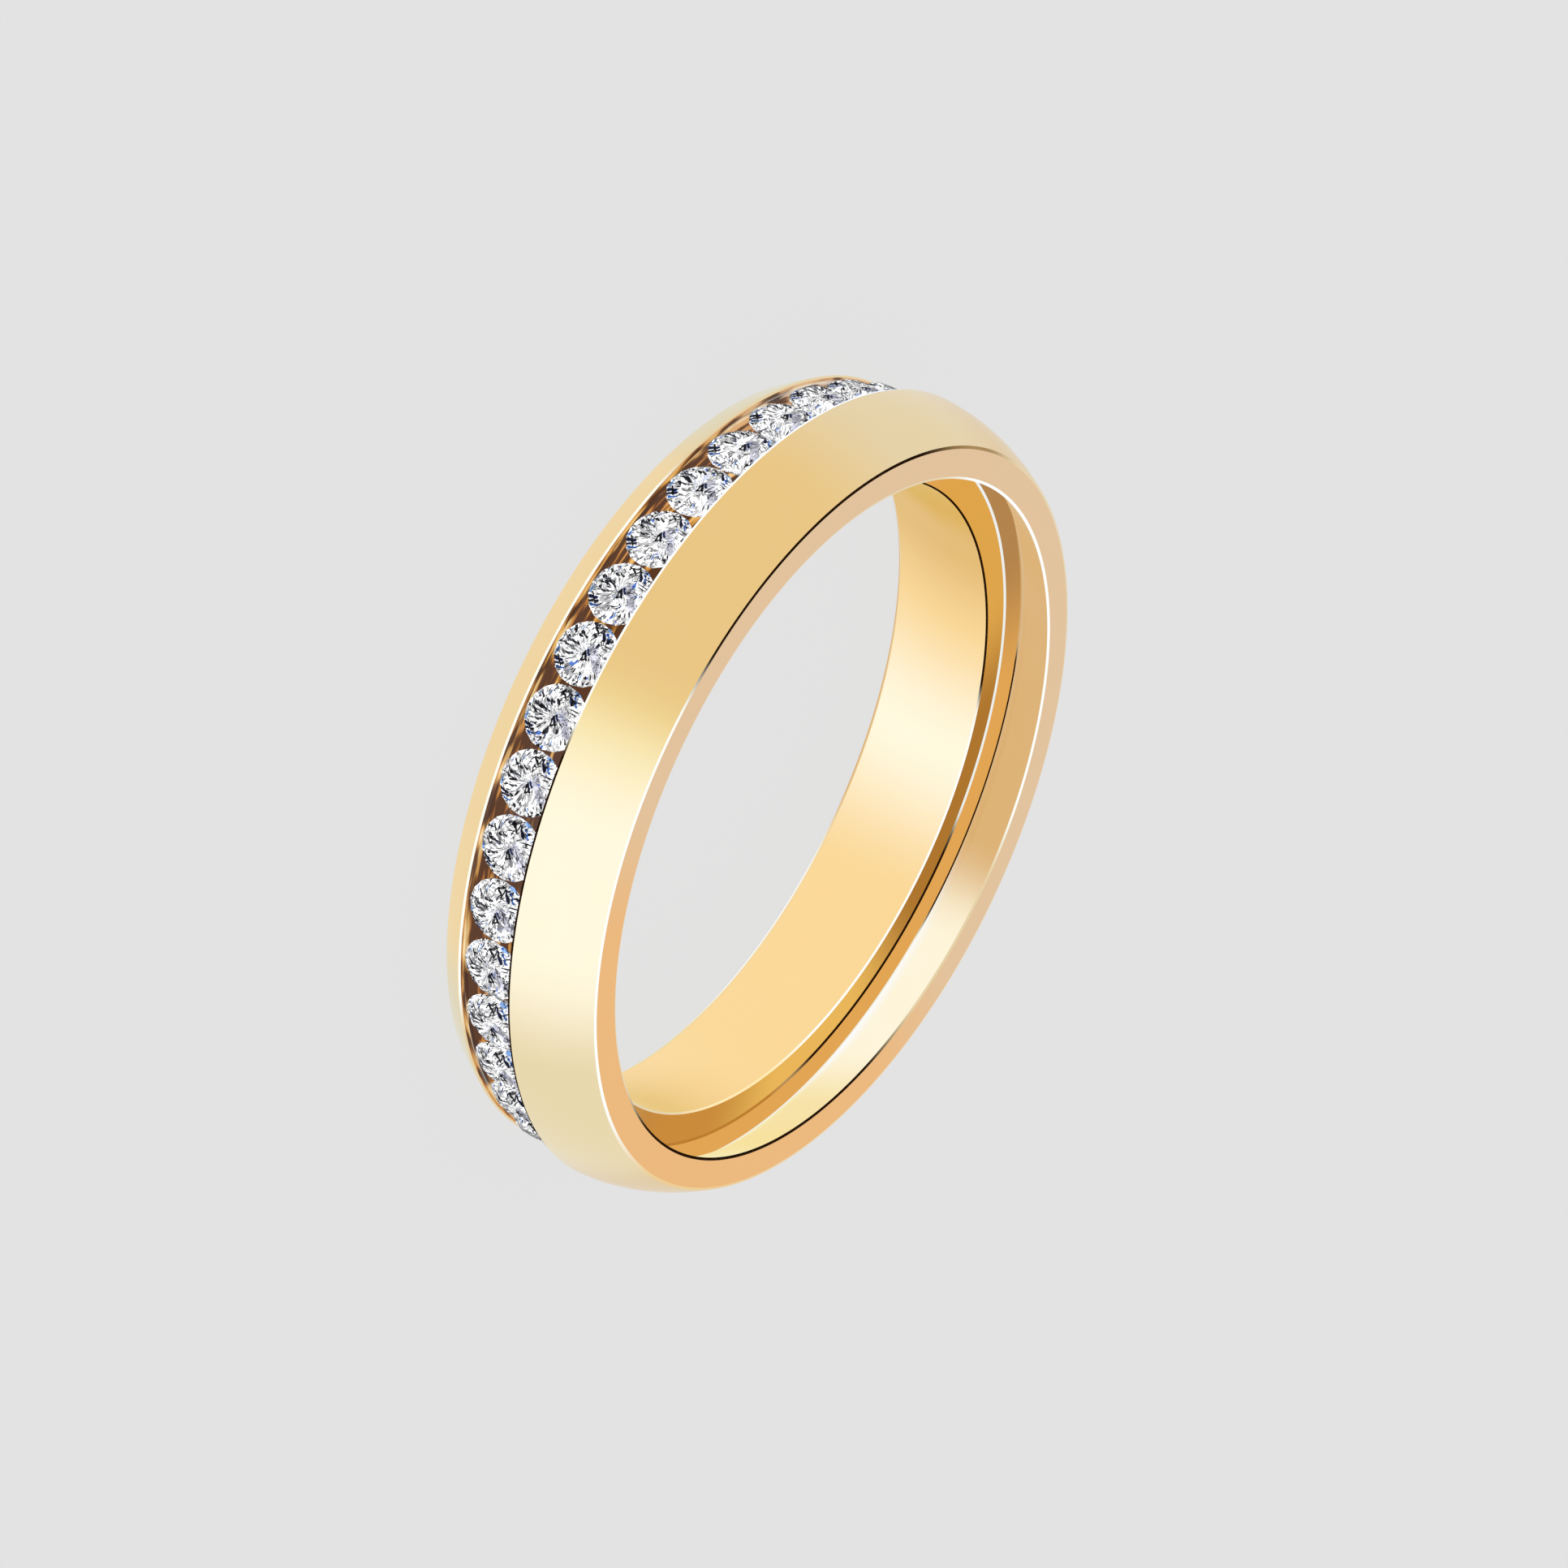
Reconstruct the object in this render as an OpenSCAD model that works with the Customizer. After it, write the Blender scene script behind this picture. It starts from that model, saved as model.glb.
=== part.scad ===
// Finger ring: a domed gold band with one full row of round brilliant stones.
// The ring lies on its far side face, with its axis along Z. All sizes are in millimetres.

/* [Ring] */
// Radius of the finger bore at its narrowest
bore_r = 8.35; // [7.2:0.05:9.5]
// Width of the band, from the far side face to the near one
band_w = 4.62; // [4.56:0.02:5.4]
// Width of the narrow bevel on every edge of the metal
edge_bevel = 0.06; // [0.03:0.01:0.1]

/* [Outside] */
// Step from the finger bore out to the mouth in the near side face
lip_step = 0.61; // [0.56:0.01:0.9]
// Width of the flat near side face
face_w = 0.84; // [0.8:0.02:1.2]
// Radius of the domed outside, seen in the section
dome_r = 4.12; // [3.8:0.02:4.6]
// Height of the crest of the dome above the far side face
crest_z = 2.38; // [2.2:0.02:2.42]

/* [Inside] */
// Depth from the near side face down to the edge of the finger bore
shelf_depth = 1.41; // [1.3:0.01:1.5]
// Depth at which the wall of the mouth starts to round over outwards
round_depth = 1; // [0.7:0.05:1.2]
// How far the mouth has widened there
round_flare = 0.44; // [0.2:0.02:0.6]
// Depth from the near side face down to the foot of the mouth
relief_depth = 1.45; // [1.4:0.01:1.5]
// How far the mouth has widened at its foot
relief_flare = 0.87; // [0.7:0.01:0.95]
// Step from the finger bore out to the line where the two slopes of the shelf meet
valley_step = 0.9; // [0.6:0.02:1]
// Depth of that line below the edge of the finger bore
valley_depth = 0.13; // [0.1:0.01:0.2]
// Length of the straight part of the finger bore
land_len = 0.8; // [0.5:0.05:1.2]
// How far the bore widens from its straight part to its far mouth
taper_step = 0.52; // [0.1:0.02:0.7]
// Radial width of the rounded far mouth
mouth_w = 0.5; // [0.3:0.02:0.6]
// Depth of the rounded far mouth
mouth_depth = 0.26; // [0.15:0.01:0.4]

/* [Channel] */
// Height of the middle of the stone row above the far side face
channel_z = 1.58; // [1.5:0.01:1.65]
// Step from the finger bore out to the girdle plane of the stones
girdle_step = 1.55; // [1.5:0.01:1.6]
// How far each wall of the channel overlaps the girdle of the stones
wall_grip = 0.02; // [0.01:0.005:0.04]
// Gap between the stones and the metal, and between neighbouring stones
stone_gap = 0.03; // [0.02:0.005:0.06]
// Height of the groove in each wall that takes the girdle
seat_h = 0.14; // [0.12:0.01:0.2]
// Width of the bright bevel along both rims of the channel
rim_bevel = 0.09; // [0.04:0.01:0.12]

/* [Stones] */
// Number of stones in the row
stone_count = 36; // [34:1:38]
// Angle of the first stone, round the ring from the X axis
first_angle = 3.7; // [0:0.1:9.9]
// Width of the table as a share of the stone's diameter
table_share = 0.56; // [0.5:0.01:0.64]
// Height of the crown as a share of the diameter
crown_share = 0.16; // [0.12:0.005:0.17]
// Depth of the pavilion as a share of the diameter
pavilion_share = 0.43; // [0.4:0.005:0.44]
// Thickness of the girdle as a share of the diameter
girdle_share = 0.02; // [0.01:0.005:0.03]

/* [Hidden] */
// How far the star facets reach from the table towards the girdle
star_reach = 0.5;
// Where the lower halves end, as a share of the way from the axis to the girdle
lower_end = 0.22;
// Depth of metal kept free under the points of the stones
floor_gap = 0.07;
// Straight pieces in each curved stretch of the section
near_steps = 18;
far_steps = 6;
taper_steps = 5;
mouth_steps = 4;
round_steps = 4;

lip_r = bore_r + lip_step;
face_out_r = lip_r + face_w;
girdle_r = bore_r + girdle_step;
shelf_z = band_w - shelf_depth;

// The dome is an arc through the outer edge of the near side face, with its crest at crest_z
dome_centre_r = face_out_r - sqrt(pow(dome_r, 2) - pow(band_w - crest_z, 2));

stone_d = 2 * girdle_r * sin(180 / stone_count) - stone_gap;
wall_half = stone_d / 2 - wall_grip;
seat_depth = wall_grip + stone_gap;
floor_r = girdle_r - pavilion_share * stone_d - floor_gap;
wall_lo = channel_z - wall_half;
wall_hi = channel_z + wall_half;

function stone_name(i) = str("stone_", i < 10 ? "0" : "", i);

// Radius of the dome at a height above the far side face
function dome_at(z) = dome_centre_r + sqrt(pow(dome_r, 2) - pow(z - crest_z, 2));

// Points on the dome from one height up to another
function dome_points(z0, z1, steps) =
    [for (i = [0:steps]) let (z = z0 + (z1 - z0) * i / steps) [dome_at(z), z]];

// The section of the band, as points of radius and height, round it anticlockwise
far_side = concat(
    [[dome_at(0) - edge_bevel, 0]],
    dome_points(edge_bevel, wall_lo - rim_bevel, far_steps));

channel = [
    [dome_at(wall_lo) - rim_bevel, wall_lo],
    [girdle_r + seat_h / 2, wall_lo],
    [girdle_r, wall_lo - seat_depth],
    [girdle_r - seat_h / 2, wall_lo],
    [floor_r, wall_lo],
    [floor_r, wall_hi],
    [girdle_r - seat_h / 2, wall_hi],
    [girdle_r, wall_hi + seat_depth],
    [girdle_r + seat_h / 2, wall_hi],
    [dome_at(wall_hi) - rim_bevel, wall_hi]];

near_side = concat(
    dome_points(wall_hi + rim_bevel, band_w - edge_bevel, near_steps),
    [[face_out_r - edge_bevel, band_w]]);

// The wall of the mouth leans outwards, then rounds over further out down to its foot
round_points = [for (i = [0:round_steps])
    let (share = i / round_steps)
    [lip_r + round_flare + (relief_flare - round_flare) * share * (0.9 + 0.1 * share),
     band_w - round_depth - (relief_depth - round_depth) * share * (1.2 - 0.2 * share)]];

shelf = concat(
    [[lip_r + edge_bevel, band_w], [lip_r, band_w - edge_bevel]],
    round_points,
    [[bore_r + valley_step, shelf_z - valley_depth],
     [bore_r + edge_bevel, shelf_z],
     [bore_r, shelf_z - edge_bevel]]);

// The bore leaves its straight part along a curve, so that it widens without a crease
taper_top = shelf_z - edge_bevel - land_len;
taper_len = taper_top - mouth_depth;
taper = [for (i = [0:taper_steps])
    let (share = i / taper_steps)
    [bore_r + taper_step * pow(share, 1.5), taper_top - taper_len * share]];

// The far mouth is a quarter of an ellipse that rounds the bore over into the far side face
mouth = [for (i = [1:mouth_steps])
    let (a = 90 * i / mouth_steps)
    [bore_r + taper_step + mouth_w * (1 - cos(a)), mouth_depth * (1 - sin(a))]];

module band() {
    color("gold")
        rotate_extrude($fn = 240)
            polygon(concat(far_side, channel, near_side, shelf, taper, mouth));
}

// A round brilliant about the Z axis, with the middle of its girdle at the origin.
// Its rings of corners from the top down: table, star tips, upper girdle, lower girdle,
// lower half tips, point.
crown_top = crown_share * stone_d;
girdle_half = girdle_share * stone_d / 2;
stone_r = stone_d / 2;
table_r = table_share * stone_r;
star_r = table_r * cos(22.5) * (1 - star_reach) + stone_r * star_reach;
lower_r = lower_end * stone_r;

// Heights on the flat main facets, which fix the two rings of corners between them
function crown_height(x) =
    crown_top - (crown_top - girdle_half) * (x - table_r) / (stone_r - table_r);
function pavilion_height(x) =
    -girdle_half - (pavilion_share * stone_d - girdle_half) * (1 - x / stone_r);

function ring_points(r, z, count, turn) =
    [for (i = [0:count - 1]) let (a = turn + 360 * i / count) [r * cos(a), r * sin(a), z]];

stone_points = concat(
    ring_points(table_r, crown_top, 8, 0),
    ring_points(star_r, crown_height(star_r * cos(22.5)), 8, 22.5),
    ring_points(stone_r, girdle_half, 16, 0),
    ring_points(stone_r, -girdle_half, 16, 0),
    ring_points(lower_r, pavilion_height(lower_r * cos(22.5)), 8, 22.5),
    [[0, 0, -pavilion_share * stone_d]]);

// First corner of each ring in the list above
table_0 = 0;
star_0 = 8;
upper_0 = 16;
under_0 = 32;
lower_0 = 48;
culet = 56;

function near8(i) = (i + 8) % 8;
function near16(i) = (i + 16) % 16;

stone_faces = concat(
    [[for (i = [7:-1:0]) table_0 + i]],
    [for (i = [0:7]) [table_0 + i, table_0 + near8(i + 1), star_0 + i]],
    [for (i = [0:7]) [table_0 + i, star_0 + i, upper_0 + 2 * i, star_0 + near8(i - 1)]],
    [for (i = [0:7]) [star_0 + i, upper_0 + 2 * i + 1, upper_0 + 2 * i]],
    [for (i = [0:7]) [star_0 + i, upper_0 + near16(2 * i + 2), upper_0 + 2 * i + 1]],
    [for (i = [0:15]) [upper_0 + i, upper_0 + near16(i + 1), under_0 + near16(i + 1), under_0 + i]],
    [for (i = [0:7]) [lower_0 + i, under_0 + 2 * i, under_0 + 2 * i + 1]],
    [for (i = [0:7]) [lower_0 + i, under_0 + 2 * i + 1, under_0 + near16(2 * i + 2)]],
    [for (i = [0:7]) [culet, lower_0 + near8(i - 1), under_0 + 2 * i, lower_0 + i]]);

module brilliant() {
    polyhedron(points = stone_points, faces = stone_faces, convexity = 2);
}

// One stone in the row, with its table facing straight outwards
module stone(i) {
    color("aliceblue")
        rotate([0, 0, first_angle + 360 * (i - 1) / stone_count])
            translate([girdle_r, 0, channel_z])
                rotate([0, 90, 0])
                    brilliant();
}

band();
for (i = [1:stone_count]) stone(i);
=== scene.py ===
import math
import bpy
from mathutils import Matrix, Vector


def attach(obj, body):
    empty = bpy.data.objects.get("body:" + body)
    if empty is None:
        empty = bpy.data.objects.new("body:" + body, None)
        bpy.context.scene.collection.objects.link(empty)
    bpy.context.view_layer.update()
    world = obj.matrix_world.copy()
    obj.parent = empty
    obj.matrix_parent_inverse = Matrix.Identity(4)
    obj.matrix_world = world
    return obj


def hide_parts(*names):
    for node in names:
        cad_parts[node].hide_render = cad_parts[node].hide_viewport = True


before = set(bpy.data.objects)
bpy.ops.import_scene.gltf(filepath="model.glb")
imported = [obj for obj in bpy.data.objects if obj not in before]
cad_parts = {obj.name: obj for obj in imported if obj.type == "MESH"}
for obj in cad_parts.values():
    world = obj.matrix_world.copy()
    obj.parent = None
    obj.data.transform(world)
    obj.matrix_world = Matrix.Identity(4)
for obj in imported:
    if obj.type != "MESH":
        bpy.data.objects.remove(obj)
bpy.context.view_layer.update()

# A domed gold ring with a full row of channel set brilliants, lying on its far side face.
# The frame is in metres, and the lengths in the dictionaries are in millimetres.
mm = 0.001
scene = bpy.context.scene
print("frame loaded:", len(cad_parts), "nodes")


def linearColour(hexColour, strength=1.0):
    # From an sRGB hex value to linear light, along the sRGB curve.
    parts = [int(hexColour[i:i + 2], 16) / 255 for i in (1, 3, 5)]
    parts = [p / 12.92 if p <= 0.04045 else ((p + 0.055) / 1.055) ** 2.4 for p in parts]
    return (*[p * strength for p in parts], 1.0)


def addNode(tree, kind, settings=None, inputs=None):
    node = tree.nodes.new(kind)
    for name, value in (settings or {}).items():
        setattr(node, name, value)
    for socket, value in (inputs or {}).items():
        if isinstance(value, bpy.types.NodeSocket):
            tree.links.new(value, node.inputs[socket])
        else:
            node.inputs[socket].default_value = value
    return node


def startMaterial(name):
    material = bpy.data.materials.new(name)
    material.use_nodes = True
    material.node_tree.nodes.clear()
    return material, material.node_tree


def setStops(ramp, stops):
    # The positions rise, so that no stop passes one that is still to be set.
    while len(ramp.elements) < len(stops):
        ramp.elements.new(0.9)
    for element, (position, colour) in zip(ramp.elements, stops):
        element.position, element.color = position, colour


# The camera looks along parallel lines, down on the ring from its near side.
cameraSizes = {
    "framePixels": 1932,
    "mmPerPixel": 0.019832,
    "faceHeight": 4.62,       # of the near side face above the table
    "centreRight": -59.63,    # pixels from the middle of that face to the middle of the frame
    "centreUp": 42.63,
    "distance": 200,          # far enough to stand clear of the ring
    "right": (-0.4242, 0.4083, 0.8083),
    "towards": (0, -0.8926, 0.4509),
    "clip": (0.01, 10),       # metres
}
cameraRight = Vector(cameraSizes["right"]).normalized()
toCamera = Vector(cameraSizes["towards"]).normalized()
cameraUp = toCamera.cross(cameraRight).normalized()
cameraRight = cameraUp.cross(toCamera).normalized()
pixel = cameraSizes["mmPerPixel"] * mm
aim = (Vector((0, 0, cameraSizes["faceHeight"] * mm)) + cameraRight * cameraSizes["centreRight"] * pixel
       + cameraUp * cameraSizes["centreUp"] * pixel)
cameraData = bpy.data.cameras.new("productCamera")
cameraData.type = "ORTHO"
cameraData.ortho_scale = cameraSizes["framePixels"] * pixel
cameraData.clip_start, cameraData.clip_end = cameraSizes["clip"]
camera = bpy.data.objects.new("productCamera", cameraData)
scene.collection.objects.link(camera)
cameraTurn = Matrix((cameraRight, cameraUp, toCamera)).transposed()
cameraPlace = Matrix.Translation(aim + toCamera * cameraSizes["distance"] * mm)
camera.matrix_world = cameraPlace @ cameraTurn.to_4x4()
scene.camera = camera
print("camera placed")

# The band has the section of the CAD band, with finer bevels that draw the thin bright and dark lines.
bandSizes = {
    "boreRadius": 8.35,
    "width": 4.62,
    "lipStep": 0.61,          # from the bore out to the mouth in the near side face
    "faceWidth": 0.84,
    "faceFall": 0.022,        # the near side face falls this much towards its outer edge
    "domeRadius": 4.12,
    "crestHeight": 2.38,
    "channelHeight": 1.58,    # of the middle of the row of stones
    "girdleStep": 1.55,       # from the bore out to the girdles of the stones
    "wallGrip": 0.02,         # how far each wall reaches over the girdles
    "stoneGap": 0.03,
    "stoneCount": 36,
    "pavilionShare": 0.43,
    "floorGap": 0.07,         # below the points of the stones
    "seatHeight": 0.14,       # of the groove for the girdles
    "seatLean": 0.004,        # the step down to the ledge leans outwards by this
    "rimLedge": 0.055,        # the far wall steps down this much outside the stones
    "roundDepth": 1.0,        # the wall of the mouth rounds over outwards from here down to its foot
    "roundFlare": 0.44,
    "roundBend": (0.1, 0.2),  # how far its width lags and its depth leads on the way
    "reliefDepth": 1.45,
    "reliefFlare": 0.87,
    "shelfDepth": 1.41,
    "valleyStep": 0.9,        # from the bore out to the line where the two slopes of the shelf meet
    "valleyDepth": 0.13,
    "landLength": 0.8,        # of the straight part of the bore
    "taperStep": 0.52,
    "taperPower": 1.5,
    "mouthWidth": 0.5,
    "mouthDepth": 0.26,
    "plainEdge": 0.06,        # bevel of the far edge, also left free above the straight part of the bore
    "faceEdge": (0.059, 0.026),       # plan width and height of the bevel round the near side face
    "lipEdge": (0.070, 0.0283),       # and of the one inside it, along the mouth
    "rimEdge": (0.040, 0.0477),       # along the far rim of the channel
    "overEdge": (0.030, 0.0736),      # along the near rim, which faces 21 degrees down
    "boreEdge": (0.046, 0.0368),      # at the edge of the bore
    "valleyEdge": (0.060, 0.032),     # where the two slopes of the shelf meet
    "reliefEdge": (0.028, 0.028),     # at the foot of the mouth
    "steps": {"farDome": 12, "nearDome": 36, "round": 6, "taper": 12, "mouth": 10},
    "segments": 480,
    "pathRadius": 9.4,        # of the circle that the section is swept along
    "sharpAngle": 9,          # degrees, from which an edge stays crisp
    "cutRadii": (9.0, 10.045),        # the channel's floor and walls lie in here, aren't polished and get the painted shade
    "cutHeights": (0.69, 2.42),
    "overhang": (2.3, 10.44, -0.3),   # nor is the near wall above this height, out to this radius, where its normal points down by more than this: painted shade under the rim
                                      # where its normal points down by more than this
}


def bandSection(s):
    # Points of radius and height in millimetres, anticlockwise round the section.
    bore, width, steps = s["boreRadius"], s["width"], s["steps"]
    lip = bore + s["lipStep"]
    faceOut, faceOutZ = lip + s["faceWidth"], width - s["faceFall"]
    girdle = bore + s["girdleStep"]
    shelf = width - s["shelfDepth"]
    domeCentre = faceOut - math.sqrt(s["domeRadius"] ** 2 - (width - s["crestHeight"]) ** 2)
    stone = 2 * girdle * math.sin(math.pi / s["stoneCount"]) - s["stoneGap"]
    low = s["channelHeight"] - stone / 2 + s["wallGrip"]
    high = s["channelHeight"] + stone / 2 - s["wallGrip"]
    floor = girdle - s["pavilionShare"] * stone - s["floorGap"]
    seat, seatDepth = s["seatHeight"] / 2, s["wallGrip"] + s["stoneGap"]

    def dome(z):
        return domeCentre + math.sqrt(s["domeRadius"] ** 2 - (z - s["crestHeight"]) ** 2)

    def domeStretch(z0, z1, count):
        heights = [z0 + (z1 - z0) * i / count for i in range(count + 1)]
        return [(dome(z), z) for z in heights]

    # the outside, up to the far rim of the channel
    ledge = low - s["rimLedge"]
    rimWidth, rimHeight = s["rimEdge"]
    points = [(dome(0) - s["plainEdge"], 0)]
    points += domeStretch(s["plainEdge"], ledge - rimHeight, steps["farDome"])
    points += [(dome(ledge - rimHeight) - rimWidth, ledge), (girdle + seat, ledge)]

    # in along the far wall, over the floor and out along the near wall
    points += [(girdle + seat - s["seatLean"], low), (girdle, low - seatDepth), (girdle - seat, low)]
    points += [(floor, low), (floor, high)]
    points += [(girdle - seat, high), (girdle, high + seatDepth), (girdle + seat, high)]

    # the near rim, the rest of the dome and the near side face
    overWidth, overHeight = s["overEdge"]
    faceEdgeWidth, faceEdgeHeight = s["faceEdge"]
    lipEdgeWidth, lipEdgeHeight = s["lipEdge"]
    points.append((dome(high) - overWidth, high))
    points += domeStretch(high + overHeight, faceOutZ - faceEdgeHeight, steps["nearDome"])
    points += [(dome(faceOutZ) - faceEdgeWidth, faceOutZ), (lip + lipEdgeWidth, width)]
    points.append((lip, width - lipEdgeHeight))

    # down the wall of the mouth to its foot
    footWidth, footHeight = s["reliefEdge"]
    lag, lead = s["roundBend"]
    flare = s["reliefFlare"] - s["roundFlare"]
    drop = s["reliefDepth"] - s["roundDepth"] - footHeight
    for i in range(steps["round"] + 1):
        share = i / steps["round"]
        points.append((lip + s["roundFlare"] + flare * share * (1 - lag + lag * share),
                       width - s["roundDepth"] - drop * share * (1 + lead - lead * share)))
    points.append((lip + s["reliefFlare"] - footWidth, width - s["reliefDepth"]))

    # the two slopes of the shelf and the edge of the bore
    valley, valleyZ = bore + s["valleyStep"], shelf - s["valleyDepth"]
    valleyWidth, valleyHeight = s["valleyEdge"]
    boreEdgeWidth, boreEdgeHeight = s["boreEdge"]
    points += [(valley + valleyWidth / 2, valleyZ + valleyHeight), (valley - valleyWidth / 2, valleyZ)]
    points += [(bore + boreEdgeWidth, shelf), (bore, shelf - boreEdgeHeight)]

    # the straight part of the bore, its taper and the rounded far mouth
    top = shelf - s["plainEdge"] - s["landLength"]
    for i in range(steps["taper"] + 1):
        share = i / steps["taper"]
        points.append((bore + s["taperStep"] * share ** s["taperPower"],
                       top - (top - s["mouthDepth"]) * share))
    for i in range(1, steps["mouth"] + 1):
        turned = math.radians(90 * i / steps["mouth"])
        points.append((bore + s["taperStep"] + s["mouthWidth"] * (1 - math.cos(turned)),
                       s["mouthDepth"] * (1 - math.sin(turned))))
    return points


def latheTree():
    # Sweeps the section, kept as a loop of edges, round the Z axis.
    tree = bpy.data.node_groups.new("latheRound", "GeometryNodeTree")
    tree.interface.new_socket("Section", in_out="INPUT", socket_type="NodeSocketGeometry")
    tree.interface.new_socket("Segments", in_out="INPUT", socket_type="NodeSocketInt")
    tree.interface.new_socket("Path Radius", in_out="INPUT", socket_type="NodeSocketFloat")
    tree.interface.new_socket("Finish", in_out="INPUT", socket_type="NodeSocketMaterial")
    tree.interface.new_socket("Band", in_out="OUTPUT", socket_type="NodeSocketGeometry")
    given = addNode(tree, "NodeGroupInput")
    profile = addNode(tree, "GeometryNodeMeshToCurve", inputs={"Mesh": given.outputs["Section"]})
    path = addNode(tree, "GeometryNodeCurvePrimitiveCircle", {"mode": "RADIUS"},
                   {"Resolution": given.outputs["Segments"], "Radius": given.outputs["Path Radius"]})
    swept = addNode(tree, "GeometryNodeCurveToMesh",
                    inputs={"Curve": path.outputs["Curve"], "Profile Curve": profile.outputs["Curve"]})
    outwards = addNode(tree, "GeometryNodeFlipFaces", inputs={"Mesh": swept.outputs["Mesh"]})
    real = addNode(tree, "GeometryNodeRealizeInstances", inputs={"Geometry": outwards.outputs["Mesh"]})
    finished = addNode(tree, "GeometryNodeSetMaterial",
                       inputs={"Geometry": real.outputs["Geometry"], "Material": given.outputs["Finish"]})
    addNode(tree, "NodeGroupOutput", inputs={"Band": finished.outputs["Geometry"]})
    return tree


def setModifierInputs(modifier, values):
    for item in modifier.node_group.interface.items_tree:
        if item.item_type == "SOCKET" and item.in_out == "INPUT" and item.name in values:
            modifier[item.identifier] = values[item.name]


goldFinish = {
    "colours": ("#FFEABC", "#FFE8B8"),
    "roughness": (0.03, 0.045),
    "hazeSize": 10 / 9,       # mm across a cloud of the haze
    "hazeRange": (0.3, 0.7),
}


def polishedGold(s):
    # Cast 14 carat yellow gold, mirror polished, which gives clean and sharp reflections
    # with the faintest haze of the last buffing.
    material, tree = startMaterial("polished yellow gold")
    where = addNode(tree, "ShaderNodeTexCoord").outputs["Object"]
    haze = addNode(tree, "ShaderNodeTexNoise", inputs={
        "Vector": where, "Scale": 1 / (s["hazeSize"] * mm), "Detail": 3.0}).outputs["Fac"]
    rough = addNode(tree, "ShaderNodeMapRange", inputs={
        "Value": haze, "From Min": s["hazeRange"][0], "From Max": s["hazeRange"][1],
        "To Min": s["roughness"][0], "To Max": s["roughness"][1]})
    clear, hazy = [linearColour(colour) for colour in s["colours"]]
    tint = addNode(tree, "ShaderNodeMix", {"data_type": "RGBA"}, {0: haze, 6: clear, 7: hazy}).outputs[2]
    metal = addNode(tree, "ShaderNodeBsdfPrincipled", inputs={
        "Base Color": tint, "Metallic": 1.0, "Roughness": rough.outputs["Result"]})
    addNode(tree, "ShaderNodeOutputMaterial", inputs={"Surface": metal.outputs["BSDF"]})
    return material


channelPaintedLight = {
    # from painted shade, dark brown, up to painted reflection, bright gold
    "stops": [(0.46, "#5E4030"), (0.53, "#9A6C3E"), (0.60, "#E0AC62"), (0.72, "#FFDC9C")],
    "roughness": 0.22,
    "streak": (1.0, 1 / 6),           # mm, length and width of a streak of painted reflection, also a mark of the graver in the bump
    "markDepth": 0.02,
    "markStrength": 0.3,
    "radii": (9.6, 10.0),             # painted shade: the colour is lighter outwards and darker deeper in the channel
    "shadeByRadius": (-0.05, 0.10),        # added to its lightness at each of the two
    # painted light and shade, changing round the ring:
    "turns": (-1.0, 0.3),             # radians round the ring, 0 in front, the picture's top at -1.6
    "lightByTurn": (0.07, -0.02),
    "stoneHighlightAndShade": (0.06, -0.07),     # painted highlight where a stone comes close to the rim, and painted shade between two stones
    "greyestTurn": 1.6,                  # painted light: the colour is greyest this far before the front,
    "greyingSpan": (0.45, 0.95),         # all of it within the first of these, and none of it past the second
    "greyestColour": 0.58,               # how much of its colour is left there
}


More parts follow.
